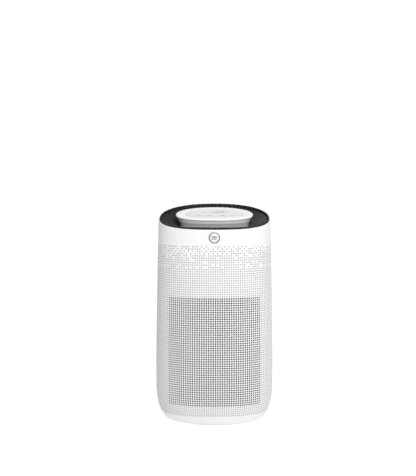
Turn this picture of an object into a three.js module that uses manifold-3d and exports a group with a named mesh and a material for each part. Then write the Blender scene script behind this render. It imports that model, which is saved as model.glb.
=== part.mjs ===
// Air purifier: a tower of oval section with a slanted top. Room air enters the front grille, passes
// the filter pack, and a scroll fan sends it up a duct and out of the finned ring round the controls.
// Millimetres, +Z up. The front faces -Y. The origin is on the floor under the middle of the body.
import * as THREE from "three";
import { mergeVertices } from "three/addons/utils/BufferGeometryUtils.js";
import Module from "manifold-3d";

const wasm = await Module();
wasm.setup();

// ---------- driving dimensions ----------
const HALF_WIDTH = 150.5; // widest half width of the body
const DEPTH_SHARE = 0.625; // depth over width of every body section
const BODY_POWER = 2.4; // superellipse exponent of the body's plan
const WALL = 2.8; // casing wall
const GAP = 0.4; // between pieces that meet
const FOOT_HEIGHT = 3; // the feet lift the base by this much
const SEAM_Z = 27; // base to casing seam
const TUCK = 30.5; // how far the body draws in at the floor
const TUCK_HEIGHT = 84;
const TAPER = 8; // how much the half width shrinks towards the top
const TAPER_FROM = 150;
const TAPER_SPAN = 360;
const RIM_Z = 521.9; // rim height over the origin
const RIM_SLOPE = 0.339; // the rim rises to the back
const RIM_CROWN = 4.7; // the rim drops by this much at its two sides
const MOAT_Z = 493; // level floor of the outlet round the control pillar
const FAN = { x: 0, z: 187 }; // fan axis, along Y
const BAY = { x: 116, z0: 52, z1: 332, y0: -56, y1: -18, wall: 2.4 };
const SCROLL = { y0: -17.7, y1: 51.7, top: 332.4, left: -64, right: 118 };
const FIN_COUNT = 76;

// ---------- colours ----------
const finish = (color, roughness, metalness = 0) =>
  new THREE.MeshStandardMaterial({ color, roughness, metalness });
const WHITE = finish(0xf2f2f1, 0.42);
const GREY = finish(0xb9bbbd, 0.5);
const CHARCOAL = finish(0x2b2b2d, 0.55);
const RUBBER = finish(0x1c1c1d, 0.9);
const STEEL = finish(0xb4b7ba, 0.3, 1);
const BRASS = finish(0xc9a04e, 0.3, 1);
const BOARD = finish(0x1f5a38, 0.6);
const PAPER = finish(0xeef0ee, 0.9);
const CARBON = finish(0x222222, 0.95);
const SILVER = finish(0xc8cacc, 0.25, 1);

// ---------- the body's shape ----------
// Half width of the body at a height: a quarter ellipse draws in the foot, a gentle power curve the top.
function halfWidth(z) {
  const low = Math.min(1, Math.max(0, (FOOT_HEIGHT + TUCK_HEIGHT - z) / TUCK_HEIGHT));
  const high = Math.max(0, (z - TAPER_FROM) / TAPER_SPAN);
  return HALF_WIDTH - TUCK * (1 - Math.sqrt(1 - low * low)) - TAPER * high ** 1.2;
}

const halfDepth = (z) => DEPTH_SHARE * halfWidth(z);

// The slanted, slightly crowned surface that the rim lies on.
const rimZ = (x, y) => RIM_Z + RIM_SLOPE * y - RIM_CROWN * (x / HALF_WIDTH) ** 2;

// The point at an angle on a superellipse with half axes a and b.
function ovalPoint(a, b, angle, power = BODY_POWER) {
  const c = Math.cos(angle);
  const s = Math.sin(angle);
  return [
    a * Math.sign(c) * Math.abs(c) ** (2 / power),
    b * Math.sign(s) * Math.abs(s) ** (2 / power),
  ];
}

// Rings of points, each a closed loop or an open run of the same length, become one closed surface.
// With closeRings the last ring joins the first; otherwise the first and last rings are capped.
// An open run with closeRings is a wall: ring r faces ring (last - r) and the two ends are capped.
function skin(rings, { closedRun = true, closeRings = false } = {}) {
  const count = rings[0].length;
  const positions = rings.flat(2);
  const faces = [];
  const at = (ring, i) => (ring % rings.length) * count + (i % count);
  const lastRing = closeRings ? rings.length : rings.length - 1;
  const lastStep = closedRun ? count : count - 1;
  for (let r = 0; r < lastRing; r++)
    for (let i = 0; i < lastStep; i++)
      faces.push(
        at(r, i), at(r, i + 1), at(r + 1, i + 1),
        at(r, i), at(r + 1, i + 1), at(r + 1, i),
      );
  if (!closeRings && closedRun)
    for (const [ring, turn] of [[0, true], [rings.length - 1, false]]) {
      const middle = positions.length / 3;
      for (let k = 0; k < 3; k++)
        positions.push(rings[ring].reduce((sum, p) => sum + p[k], 0) / count);
      for (let i = 0; i < count; i++)
        faces.push(...(turn
          ? [at(ring, i + 1), at(ring, i), middle]
          : [at(ring, i), at(ring, i + 1), middle]));
    }
  if (closeRings && !closedRun)
    for (const [i, turn] of [[0, false], [count - 1, true]])
      for (let r = 0; r < rings.length / 2 - 1; r++) {
        const quad = [r, r + 1, rings.length - 2 - r, rings.length - 1 - r].map((ring) => at(ring, i));
        if (turn) quad.reverse();
        faces.push(quad[0], quad[1], quad[2], quad[0], quad[2], quad[3]);
      }
  const geometry = new THREE.BufferGeometry();
  geometry.setAttribute("position", new THREE.Float32BufferAttribute(positions, 3));
  geometry.setIndex(faces);
  return geometry;
}

// ---------- solids ----------
function solid(geometry) {
  const bare = geometry.clone();
  bare.deleteAttribute("normal");
  bare.deleteAttribute("uv");
  const merged = mergeVertices(bare, 1e-4);
  const made = new wasm.Manifold(new wasm.Mesh({
    numProp: 3,
    vertProperties: merged.attributes.position.array,
    triVerts: new Uint32Array(merged.index.array),
  }));
  if (made.volume() > 0) return made;
  const turned = new Uint32Array(merged.index.array);
  for (let i = 0; i < turned.length; i += 3)
    [turned[i + 1], turned[i + 2]] = [turned[i + 2], turned[i + 1]];
  return new wasm.Manifold(new wasm.Mesh({
    numProp: 3,
    vertProperties: merged.attributes.position.array,
    triVerts: turned,
  }));
}

function geometryOf(made) {
  const mesh = made.getMesh();
  const geometry = new THREE.BufferGeometry();
  geometry.setAttribute("position", new THREE.BufferAttribute(mesh.vertProperties, 3));
  geometry.setIndex(new THREE.BufferAttribute(mesh.triVerts, 1));
  geometry.computeVertexNormals();
  return geometry;
}

const join = (...parts) => parts.reduce((sum, part) => sum.add(part));
const cut = (part, ...tools) => tools.reduce((left, tool) => left.subtract(tool), part);

// A box from its lowest and highest corners.
function box([x0, y0, z0], [x1, y1, z1]) {
  const geometry = new THREE.BoxGeometry(x1 - x0, y1 - y0, z1 - z0);
  return solid(geometry.translate((x0 + x1) / 2, (y0 + y1) / 2, (z0 + z1) / 2));
}

// A cylinder along Y, from y0 to y1.
function rod(radius, y0, y1, x = 0, z = 0, sides = 24) {
  const geometry = new THREE.CylinderGeometry(radius, radius, y1 - y0, sides);
  return solid(geometry.translate(x, (y0 + y1) / 2, z));
}

// A cylinder along Z, from z0 to z1.
function post(radius, z0, z1, x = 0, y = 0, sides = 24) {
  const geometry = new THREE.CylinderGeometry(radius, radius, z1 - z0, sides);
  return solid(geometry.rotateX(Math.PI / 2).translate(x, y, (z0 + z1) / 2));
}

// A flat shape in X and Z, with holes, extruded along Y from y0 to y1.
function slab(points, y0, y1, holes = []) {
  const shape = new THREE.Shape(points.map(([x, z]) => new THREE.Vector2(x, z)));
  for (const hole of holes)
    shape.holes.push(new THREE.Path(hole.map(([x, z]) => new THREE.Vector2(x, z))));
  const geometry = new THREE.ExtrudeGeometry(shape, { depth: y1 - y0, bevelEnabled: false });
  return solid(geometry.rotateX(Math.PI / 2).translate(0, y1, 0));
}

const circle = (radius, x, z, sides = 32) =>
  Array.from({ length: sides }, (_, i) => {
    const turn = (2 * Math.PI * i) / sides;
    return [x + radius * Math.cos(turn), z + radius * Math.sin(turn)];
  });

// A level or slanted oval ring of points. The height is a number or a function of x and y.
function ovalRing(a, b, height, power = BODY_POWER, sides = 40, x0 = 0, y0 = 0) {
  return Array.from({ length: sides }, (_, i) => {
    const [x, y] = ovalPoint(a, b, (2 * Math.PI * i) / sides, power);
    const z = typeof height === "function" ? height(x + x0, y + y0) : height;
    return [x + x0, y + y0, z];
  });
}

// A solid oval body from rings of growing height, and a tube from the same list and its inner rings.
const ovalSolid = (rings) => solid(skin(rings));
const ovalTube = (outer, inner) =>
  solid(skin([...outer, ...inner.slice().reverse()], { closeRings: true }));

// ---------- casing ----------
const CASING_LEVELS = [0, 0.05, 0.12, 0.2, 0.5, 0.75, 1];

// The point at an angle on the body's surface, drawn in by an inset, that lies a drop under the rim.
function rimPoint(angle, inset, drop) {
  let height = RIM_Z - drop;
  for (let pass = 0; pass < 5; pass++) {
    const [x, y] = ovalPoint(halfWidth(height) - inset, halfDepth(height) - inset, angle);
    height = rimZ(x, y) - drop;
  }
  return [...ovalPoint(halfWidth(height) - inset, halfDepth(height) - inset, angle), height];
}

// A column of points up the casing at an angle, from a level seam to the rim.
function casingColumn(angle, inset, fromZ) {
  const top = rimPoint(angle, inset, 0)[2];
  return CASING_LEVELS.map((share) => {
    const z = fromZ + share * (top - fromZ);
    return [...ovalPoint(halfWidth(z) - inset, halfDepth(z) - inset, angle), z];
  });
}

// Half of the casing, between two angles, with a wall of WALL.
function halfCasing(fromAngle, toAngle, steps = 24) {
  const columns = (inset) =>
    Array.from({ length: steps + 1 }, (_, i) =>
      casingColumn(fromAngle + ((toAngle - fromAngle) * i) / steps, inset, SEAM_Z + GAP));
  const outer = columns(0);
  const inner = columns(WALL);
  const rings = [];
  for (let level = 0; level < CASING_LEVELS.length; level++)
    rings.push(outer.map((column) => column[level]));
  for (let level = CASING_LEVELS.length - 1; level >= 0; level--)
    rings.push(inner.map((column) => column[level]));
  return solid(skin(rings, { closedRun: false, closeRings: true }));
}

// The filled body inside the casing, to trim what has to follow its surface.
function bodyCore(inset) {
  const levels = [SEAM_Z, 45, 70, 110, 200, 300, 400, 470];
  return ovalSolid(levels.map((z) => ovalRing(halfWidth(z) - inset, halfDepth(z) - inset, z)));
}

const SEAM_ANGLE = 0.0012; // leaves about GAP between the two halves at the widest line
const MAGNETS = [[-124.5, 75], [124.5, 75], [-124.5, 315], [124.5, 315]];
const MAGNET = { radius: 5, back: -26, front: -28.5, boss: 7 };

const INTAKE = { x: 112, z0: 54, z1: 316, slots: 12, width: 8, rib: 8 };

// The intake field of the cover: upright slots in two storeys.
function intakeSlots() {
  const middle = (INTAKE.z0 + INTAKE.z1) / 2;
  const storeys = [[INTAKE.z0, middle - INTAKE.rib / 2], [middle + INTAKE.rib / 2, INTAKE.z1]];
  const slots = [];
  for (let i = 0; i < INTAKE.slots; i++) {
    const x = INTAKE.x * ((2 * i) / (INTAKE.slots - 1) - 1);
    for (const [z0, z1] of storeys)
      slots.push(box([x - INTAKE.width / 2, -110, z0], [x + INTAKE.width / 2, -62, z1]));
  }
  return slots;
}

function frontCover() {
  const shell = halfCasing(Math.PI + SEAM_ANGLE, 2 * Math.PI - SEAM_ANGLE);
  const core = bodyCore(1);
  const bosses = MAGNETS.map(([x, z]) =>
    rod(MAGNET.boss, -80, MAGNET.front + 1.5, x, z, 20).intersect(core));
  const seats = MAGNETS.map(([x, z]) => rod(MAGNET.radius + 0.3, MAGNET.front - 0.3, 0, x, z, 20));
  return cut(join(cut(shell, ...intakeSlots()), ...bosses), ...seats);
}

const GRIP = { x: 55.6, z0: 358.4, z1: 391.6, back: 66.5, wall: 2.5 };
const SENSOR = { x: 23.6, z0: 283.4, z1: 316.6, back: 70, wall: 2.2 };
const INLET = { x: 12.5, z0: 42, z1: 58, back: 72, face: 90.5 };

function rearShell() {
  const shell = halfCasing(SEAM_ANGLE, Math.PI - SEAM_ANGLE);
  const windows = [GRIP, SENSOR, INLET].map(({ x, z0, z1 }) =>
    box([-x - GAP, 55, z0 - GAP], [x + GAP, 120, z1 + GAP]));
  return cut(shell, ...windows);
}

// A cup let into the rear shell, whose rim follows the shell's surface.
function rearCup({ x, z0, z1, back, wall }) {
  const block = box([-x, back, z0], [x, 120, z1]).intersect(bodyCore(0.6));
  return cut(block, box([wall - x, back + wall, z0 + wall], [x - wall, 121, z1 - wall]));
}

// ---------- base ----------
const FEET = [[-84, -38], [84, -38], [-84, 38], [84, 38]];
const SCREWS = [[-58, -52], [58, -52], [-58, 52], [58, 52]];
const BASE_FLOOR = 7;
const STANDOFFS = [[-48, -24], [48, -24], [-48, 24], [48, 24]];

function baseTray() {
  const ring = (inset, z, at = z) => ovalRing(halfWidth(at) - inset, halfDepth(at) - inset, z);
  const levels = [FOOT_HEIGHT, 4, 8, 15, SEAM_Z];
  const outside = levels.map((z) => ring(0, z));
  const lip = [
    ring(WALL + GAP, SEAM_Z),
    ring(WALL + GAP, SEAM_Z + 7, SEAM_Z),
    ring(WALL + GAP + 2, SEAM_Z + 7, SEAM_Z),
    ring(WALL + GAP + 2, 15),
    ring(WALL + GAP + 2, BASE_FLOOR),
  ];
  const counterbores = SCREWS.flatMap(([x, y]) => [
    post(4.4, 0, 5.6, x, y, 16), post(2, 0, 20, x, y, 12),
  ]);
  const legs = STANDOFFS.map(([x, y]) => post(3, BASE_FLOOR - 1, 10.7, x, y, 12));
  return cut(join(ovalSolid([...outside, ...lip]), ...legs), ...counterbores);
}

const LEAD_HOLES = [[0, 60], [-108, 0]];

function baseCover() {
  const plate = [23, 25.5].map((z) => ovalRing(halfWidth(20) - 7, halfDepth(20) - 7, z));
  const pillars = SCREWS.map(([x, y]) => post(4.5, BASE_FLOOR + GAP, 24, x, y, 16));
  const holes = SCREWS.map(([x, y]) => post(1.9, 0, 21, x, y, 12));
  const leads = LEAD_HOLES.map(([x, y]) => post(4.5, 20, 30, x, y, 16));
  return cut(join(ovalSolid(plate), ...pillars), ...holes, ...leads);
}

// A countersunk body of revolution along Z: points are [radius, height] from the axis and back.
function turned(points, x, y, sides = 12) {
  const profile = points.map(([r, z]) => new THREE.Vector2(r, z));
  const geometry = new THREE.LatheGeometry(profile, sides);
  return solid(geometry.rotateX(Math.PI / 2).translate(x, y, 0));
}

const baseScrew = (x, y) => turned([[0, 3.6], [3.8, 3.6], [3.8, 5.2], [1.5, 5.2], [1.5, 20], [0, 20]], x, y);
const foot = (x, y) =>
  turned([[0, 0], [9, 0], [10, 0.8], [10, 2.7], [0, 2.7]], x, y, 24);

// ---------- electronics ----------
const mainBoard = () =>
  cut(box([-55, -30, 11], [55, 30, 12.6]), ...[[-30, -12], [30, 10]].map(([x, y]) => post(2, 5, 20, x, y, 10)));
const transformer = () => box([-36, -18, 12.9], [-8, 8, 21.5]);
const heatSink = () =>
  join(
    box([10, -2, 12.9], [44, 20, 14.4]),
    ...[-1.6, 3, 7.6, 12.2, 16.8].map((y) => box([10, y, 14], [44, y + 1.6, 21.5])),
  );

function cordInlet() {
  const { x, z0, z1, back, face } = INLET;
  const middle = (z0 + z1) / 2;
  const socket = join(
    rod(4.4, 76, 100, -3.4, middle, 20), rod(4.4, 76, 100, 3.4, middle, 20),
    box([-3.4, 76, middle - 4.4], [3.4, 100, middle + 4.4]),
  );
  return cut(box([-x, back, z0], [x, face, z1]), socket);
}

const inletPin = (x) => rod(1.2, 76.3, 84, x, (INLET.z0 + INLET.z1) / 2, 12);

// A lead is a round tube along a smooth curve through hand-set points.
function lead(points, radius, steps) {
  const curve = new THREE.CatmullRomCurve3(points.map((p) => new THREE.Vector3(...p)));
  const section = new THREE.Shape(circle(radius, 0, 0, 7).map(([x, z]) => new THREE.Vector2(x, z)));
  return solid(new THREE.ExtrudeGeometry(section, { steps, extrudePath: curve, bevelEnabled: false }));
}

const MOTOR_LEAD = [
  [0, 62.5, 146.5], [0, 63.5, 128], [0, 62, 100], [0, 61, 70], [0, 60, 45], [0, 60, 30], [0, 60, 20],
  [0, 52, 15.5], [0, 42, 14.8], [0, 33, 14.6],
];
const PANEL_LEAD = [
  [-20, -14, 509.9], [-20, -14.5, 496], [-20, -17, 485], [-20, -26, 478.5], [-20, -48, 475], [-20, -74, 474.5],
  [-20, -84, 470], [-21, -83.6, 457], [-32, -78, 422], [-64, -62, 385], [-108, -34, 366], [-122, -10, 340],
  [-123, 0, 300], [-123, 0, 220], [-123, 0, 140], [-123, 0, 80], [-118, 0, 50], [-108, 0, 32], [-108, 0, 20],
  [-98, 0, 15.5], [-82, 0, 14.8], [-60, 0, 14.6],
];

// ---------- filter bay and filter pack ----------
function filterBay() {
  const { x, z0, z1, y0, y1, wall } = BAY;
  const tray = cut(
    box([-x, y0, z0], [x, y1, z1]),
    box([wall - x, y0 - 1, z0 + wall], [x - wall, y1 - 2.5, z1 - wall]),
    rod(74, y0, y1 + 1, FAN.x, FAN.z, 40),
  );
  const ears = MAGNETS.map(([ex, ez]) =>
    box([Math.min(ex, Math.sign(ex) * (x - 1)) - (ex < 0 ? 7.5 : 0), -23.5, ez - 8],
      [Math.max(ex, Math.sign(ex) * (x - 1)) + (ex > 0 ? 7.5 : 0), y1, ez + 8]));
  return join(tray, ...ears);
}

const strikePlate = (x, z) => rod(5.5, -25.4, -23.8, x, z, 20);
const coverMagnet = (x, z) => rod(MAGNET.radius, MAGNET.front, MAGNET.back, x, z, 20);

const PACK = { x: 112, z0: 56, z1: 328 };
const rectangle = (x, z0, z1) => [[-x, z0], [x, z0], [x, z1], [-x, z1]];
const frameSlab = (border, y0, y1, inset = 0) =>
  slab(rectangle(PACK.x - inset, PACK.z0 + inset, PACK.z1 - inset), y0, y1,
    [rectangle(PACK.x - inset - border, PACK.z0 + inset + border, PACK.z1 - inset - border)]);

const filterFrame = () => frameSlab(6, -55.6, -22.6);
const filterGasket = () => frameSlab(5, -22.2, -20.9, 2);

// Pleated paper: a zigzag sheet run from the bottom of the frame to the top.
function hepaMedia() {
  const pleats = 28;
  const reach = PACK.x - 6.6;
  const front = [];
  const back = [];
  for (let i = 0; i <= 2 * pleats; i++) {
    const x = -reach + (reach * i) / pleats;
    const y = i % 2 ? -32.5 : -52;
    front.push(new THREE.Vector2(x, y));
    back.unshift(new THREE.Vector2(x, y + 1.6));
  }
  const height = PACK.z1 - PACK.z0 - 13.2;
  const sheet = new THREE.ExtrudeGeometry(new THREE.Shape([...front, ...back]),
    { depth: height, bevelEnabled: false });
  return solid(sheet.translate(0, 0, PACK.z0 + 6.6));
}

const carbonLayer = () =>
  box([6.6 - PACK.x, -29.6, PACK.z0 + 6.6], [PACK.x - 6.6, -25, PACK.z1 - 6.6]);

function preFilter() {
  const border = 5;
  const inside = { x: PACK.x - border, z0: PACK.z0 + border, z1: PACK.z1 - border };
  const bars = [];
  for (let i = 1; i < 5; i++) {
    const x = -inside.x + (2 * inside.x * i) / 5;
    bars.push(box([x - 0.9, -58.2, inside.z0 - 1], [x + 0.9, -57, inside.z1 + 1]));
  }
  for (let i = 1; i < 5; i++) {
    const z = inside.z0 + ((inside.z1 - inside.z0) * i) / 5;
    bars.push(box([-inside.x - 1, -58.2, z - 0.9], [inside.x + 1, -57, z + 0.9]));
  }
  return join(frameSlab(border, -59, -56), ...bars);
}

// A pull tab: a flat ribbon loop standing off the face of the filter pack.
function filterTab(side) {
  const x = side * (PACK.x - 3);
  const z = (PACK.z0 + PACK.z1) / 2;
  const strap = box([x - 2, -64, z - 22], [x + 2, -62.6, z + 22]);
  const ends = [-1, 1].map((end) => box([x - 2, -63.4, z + end * 21 - 1], [x + 2, -59.3, z + end * 21 + 1]));
  return join(strap, ...ends);
}

// ---------- fan ----------
// The scroll's line: a spiral round the fan from the tongue to the outlet, then straight up.
function scrollLine(offset) {
  const points = [[SCROLL.left - offset, SCROLL.top]];
  const steps = 26;
  for (let i = 0; i <= steps; i++) {
    const turn = THREE.MathUtils.degToRad(125 + (235 * i) / steps);
    const radius = 90 + (28 * i) / steps + offset;
    points.push([FAN.x + radius * Math.cos(turn), FAN.z + radius * Math.sin(turn)]);
  }
  points.push([SCROLL.right + offset, SCROLL.top]);
  return points;
}

const scrollWall = () => slab([...scrollLine(2.5), ...scrollLine(0).reverse()], SCROLL.y0, SCROLL.y1);
const MOTOR = { radius: 40, flange: 52, bolt: 47 };
const MOTOR_BOLTS = [90, 210, 330].map((degrees) => {
  const turn = THREE.MathUtils.degToRad(degrees);
  return [FAN.x + MOTOR.bolt * Math.cos(turn), FAN.z + MOTOR.bolt * Math.sin(turn)];
});
const scrollBack = () =>
  cut(slab(scrollLine(2.5), 52, 54.5), rod(MOTOR.radius + 1, 50, 60, FAN.x, FAN.z, 36),
    ...MOTOR_BOLTS.map(([x, z]) => rod(2.4, 50, 60, x, z, 12)));

function fanGuard() {
  const rings = [74, 56, 36, 16].map((radius) =>
    slab(circle(radius + 3, FAN.x, FAN.z, 24), -17.5, -15.8, [circle(radius, FAN.x, FAN.z, 24)]));
  const spokes = [0, 60, 120].map((degrees) => {
    const bar = new THREE.BoxGeometry(150, 1.7, 3);
    bar.rotateY(THREE.MathUtils.degToRad(degrees));
    return solid(bar.translate(FAN.x, -16.65, FAN.z));
  });
  return join(...rings, ...spokes);
}

function motorHousing() {
  const can = join(
    rod(MOTOR.radius, 43, 80, FAN.x, FAN.z, 36),
    rod(MOTOR.flange, 54.9, 57.6, FAN.x, FAN.z, 36),
  );
  const boltHoles = MOTOR_BOLTS.map(([x, z]) => rod(2.4, 50, 60, x, z, 12));
  return cut(can, rod(4.4, 40, 70, FAN.x, FAN.z, 16), ...boltHoles);
}

// A motor screw lies along Y, its head behind the flange.
const motorScrew = (x, z) =>
  join(rod(3.8, 58, 60.4, x, z, 12), rod(1.9, 49, 58.5, x, z, 12));

function impeller() {
  const blades = 24;
  const disc = slab(circle(82, FAN.x, FAN.z, 36), 36, 38.4, [circle(4.4, FAN.x, FAN.z, 16)]);
  const shroud = slab(circle(82, FAN.x, FAN.z, 36), -12, -9, [circle(68, FAN.x, FAN.z, 36)]);
  const hub = cut(rod(15, 20, 37, FAN.x, FAN.z, 24), rod(4.4, 10, 45, FAN.x, FAN.z, 16));
  const vanes = Array.from({ length: blades }, (_, i) => {
    const vane = new THREE.BoxGeometry(15, 48, 1.8);
    vane.rotateY(THREE.MathUtils.degToRad(38)).translate(74, 13, 0);
    vane.rotateY((2 * Math.PI * i) / blades);
    return solid(vane.translate(FAN.x, 0, FAN.z));
  });
  return join(disc, shroud, hub, ...vanes);
}

const motorShaft = () => rod(4, 12, 66, FAN.x, FAN.z, 16);
const impellerNut = () =>
  cut(rod(8, 14, 19.6, FAN.x, FAN.z, 6), rod(4.4, 10, 22, FAN.x, FAN.z, 16));

// ---------- outlet ----------
const DUCT_DROP = 28; // the duct ends this far under the rim

// The duct blends from the scroll's rectangular outlet to the slanted oval under the fins.
function outletDuct() {
  const steps = 5;
  const rings = (inset) => Array.from({ length: steps + 1 }, (_, i) => {
    const share = i / steps;
    const ease = share * share * (3 - 2 * share);
    const mix = (from, to) => from + (to - from) * ease;
    const a = mix((SCROLL.right - SCROLL.left) / 2 + 2, 129) - inset;
    const b = mix((SCROLL.y1 - SCROLL.y0) / 2 + 2, 79) - inset;
    const x = mix((SCROLL.right + SCROLL.left) / 2, 0);
    const y = mix((SCROLL.y1 + SCROLL.y0) / 2, 0);
    const height = (px, py) => {
      const low = SCROLL.top + GAP;
      return low + (rimZ(px, py) - DUCT_DROP - low) * share;
    };
    const power = BODY_POWER + 6.6 * (1 - ease) ** 2;
    return ovalRing(a, b, height, power, 40, x, y);
  });
  return ovalTube(rings(0), rings(2));
}

const PILLAR = { a: 86.5, b: 35, power: 2.2, topA: 96.2, topB: 40.3 };
const COLLAR = { thickness: 2.5, bottom: 475 };
const LIP = { inset: WALL + GAP, width: 4, depth: 3, skirt: 28 };

// A slanted ring at a depth under the rim, inset from the casing's outside there.
const rimRing = (inset, drop, sides = 48) =>
  Array.from({ length: sides }, (_, i) => rimPoint((2 * Math.PI * i) / sides, inset, drop));

const outletBezel = () =>
  solid(skin([
    rimRing(LIP.inset, LIP.skirt), rimRing(LIP.inset, 0),
    rimRing(LIP.inset + LIP.width, 0.6), rimRing(LIP.inset + LIP.width, LIP.depth),
    rimRing(LIP.inset + 2, LIP.depth), rimRing(LIP.inset + 2, LIP.skirt),
  ], { closeRings: true }));

// One fin: its top edge runs from the outer band down to the collar, its plan tapers inwards.
function outletFin(angle) {
  const [ox, oy, outerTop] = rimPoint(angle, LIP.inset + 3.2, 3.6);
  const [ix, iy] = ovalPoint(PILLAR.a - 1, PILLAR.b - 1, angle, PILLAR.power);
  const along = new THREE.Vector2(ox - ix, oy - iy).normalize();
  const side = ([x, y], half, z) => [
    [x - along.y * half, y + along.x * half, z], [x + along.y * half, y - along.x * half, z],
  ];
  const sections = [
    [...side([ix, iy], 0.9, MOAT_Z - 1), ...side([ix, iy], 0.9, MOAT_Z - 14).reverse()],
    [...side([ox, oy], 1.6, outerTop), ...side([ox, oy], 1.6, outerTop - 13).reverse()],
  ];
  return solid(skin(sections));
}

function outletFins() {
  const band = solid(skin([
    rimRing(LIP.inset + 2.4, 18), rimRing(LIP.inset + 2.4, 3.4),
    rimRing(LIP.inset + 4.6, 3.4), rimRing(LIP.inset + 4.6, 18),
  ], { closeRings: true }));
  const ring = (inset, z) => ovalRing(PILLAR.a - inset, PILLAR.b - inset, z, PILLAR.power, 40);
  const collar = ovalTube(
    [ring(0, COLLAR.bottom), ring(0, MOAT_Z)],
    [ring(COLLAR.thickness, COLLAR.bottom), ring(COLLAR.thickness, MOAT_Z)],
  );
  const hub = cut(
    ovalSolid([ring(1, COLLAR.bottom), ring(1, COLLAR.bottom + 2.5)]),
    box([-26, -20, COLLAR.bottom - 1], [-14, -8, COLLAR.bottom + 5]),
  );
  const leadGate = box([-23, -45, COLLAR.bottom - 1], [-17, -20, COLLAR.bottom + 6.5]);
  const fins = Array.from({ length: FIN_COUNT }, (_, i) => outletFin((2 * Math.PI * (i + 0.5)) / FIN_COUNT));
  return cut(join(band, collar, hub, ...fins), leadGate);
}

// ---------- control pillar ----------
const PANEL = { rise: 7, thick: 6, a: 98.2, b: 41.6, overlayA: 74, overlayB: 28 };
const panelZ = (offset) => (x, y) => rimZ(x, y) + PANEL.rise + offset;

// The pillar's wall flares from the level moat floor to the slanted panel.
function controlPillar() {
  const shares = [0, 0.25, 0.5, 0.75, 1];
  const rings = (inset) => shares.map((share) => {
    const flare = share ** 1.5;
    const a = PILLAR.a + (PILLAR.topA - PILLAR.a) * flare - inset;
    const b = PILLAR.b + (PILLAR.topB - PILLAR.b) * flare - inset;
    const top = panelZ(-PANEL.thick - GAP);
    const height = (x, y) => MOAT_Z + GAP + (top(x, y) - MOAT_Z - GAP) * share;
    return ovalRing(a, b, height, PILLAR.power, 40);
  });
  return ovalTube(rings(0), rings(2.4));
}

const panelRing = (a, b, offset, sides = 40) => ovalRing(a, b, panelZ(offset), PILLAR.power, sides);

// The panel: a slanted lid with a rounded edge and a shallow seat for the touch overlay.
function controlPanel() {
  const lid = ovalSolid([
    panelRing(PANEL.a - 2.2, PANEL.b - 2.2, -PANEL.thick),
    panelRing(PANEL.a - 0.5, PANEL.b - 0.5, -PANEL.thick + 1.4),
    panelRing(PANEL.a, PANEL.b, -PANEL.thick + 3),
    panelRing(PANEL.a - 0.9, PANEL.b - 0.9, -1),
    panelRing(PANEL.a - 3, PANEL.b - 3, 0),
  ]);
  const seat = ovalSolid([
    panelRing(PANEL.overlayA + 0.5, PANEL.overlayB + 0.5, -1.5),
    panelRing(PANEL.overlayA + 0.5, PANEL.overlayB + 0.5, 2),
  ]);
  return cut(lid, seat, displayBlock(GAP, -4, 2));
}

// A slanted block at the display's place, grown by a margin, between two heights over the panel.
function displayBlock(margin, low, high) {
  const [x0, x1, y0, y1] = [-11 - margin, 35 + margin, 1 - margin, 13 + margin];
  const corners = (offset) =>
    [[x0, y0], [x1, y0], [x1, y1], [x0, y1]].map(([x, y]) => [x, y, panelZ(offset)(x, y)]);
  return solid(skin([corners(low), corners(high)]));
}

const touchOverlay = () =>
  cut(ovalSolid([
    panelRing(PANEL.overlayA, PANEL.overlayB, -1.2), panelRing(PANEL.overlayA, PANEL.overlayB, 0),
  ]), displayBlock(GAP, -4, 2));

const displayWindow = () => displayBlock(0, -3.6, -0.1);

const controlBoard = () =>
  ovalSolid([panelRing(80, 30, -12.6, 32), panelRing(80, 30, -11, 32)]);

// ---------- badge on the front cover ----------
const BADGE = { z: 473, radius: 13.8 };
const badgeFace = -(DEPTH_SHARE * (HALF_WIDTH - TAPER * ((BADGE.z - TAPER_FROM) / TAPER_SPAN) ** 1.2));
const badgeRing = () =>
  slab(circle(BADGE.radius, 0, BADGE.z, 40), badgeFace - 1.7, badgeFace - 0.4, [
    circle(BADGE.radius - 2, 0, BADGE.z, 40),
  ]);
const badgeDisc = () =>
  slab(circle(BADGE.radius - 2.3, 0, BADGE.z, 36), badgeFace - 1.1, badgeFace - 0.4);

// ---------- sensor flap ----------
const FLAP = { pivotY: 91.6, pivotZ: 311.3 };

function sensorPocket() {
  const holes = [-1, 1].map((side) => {
    const hole = new THREE.CylinderGeometry(1.6, 1.6, 3.4, 12).rotateZ(Math.PI / 2);
    return solid(hole.translate(side * (SENSOR.x - 1.6), FLAP.pivotY, FLAP.pivotZ));
  });
  return cut(rearCup(SENSOR), ...holes);
}

function sensorFlap() {
  const half = SENSOR.x - SENSOR.wall - 0.5;
  const plate = box([-half, 90.6, SENSOR.z0 + SENSOR.wall + 0.5], [half, 92.6, SENSOR.z1 - SENSOR.wall - 0.5]);
  const slots = [0, 1, 2, 3].map((i) => box([-13, 88, 290.2 + 4.4 * i], [13, 95, 292.2 + 4.4 * i]));
  const pin = solid(new THREE.CylinderGeometry(1.1, 1.1, 2 * half + 2.6, 12)
    .rotateZ(Math.PI / 2).translate(0, FLAP.pivotY, FLAP.pivotZ));
  return join(cut(plate, ...slots), pin);
}

const dustSensor = () => cut(box([-17, 73, 288.5], [17, 86, 308]), rod(4, 78, 90, 6, 298, 16));

// ---------- assembly ----------
const group = new THREE.Group();

function add(name, made, material) {
  const mesh = new THREE.Mesh(geometryOf(made), material);
  mesh.name = name;
  group.add(mesh);
}

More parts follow.
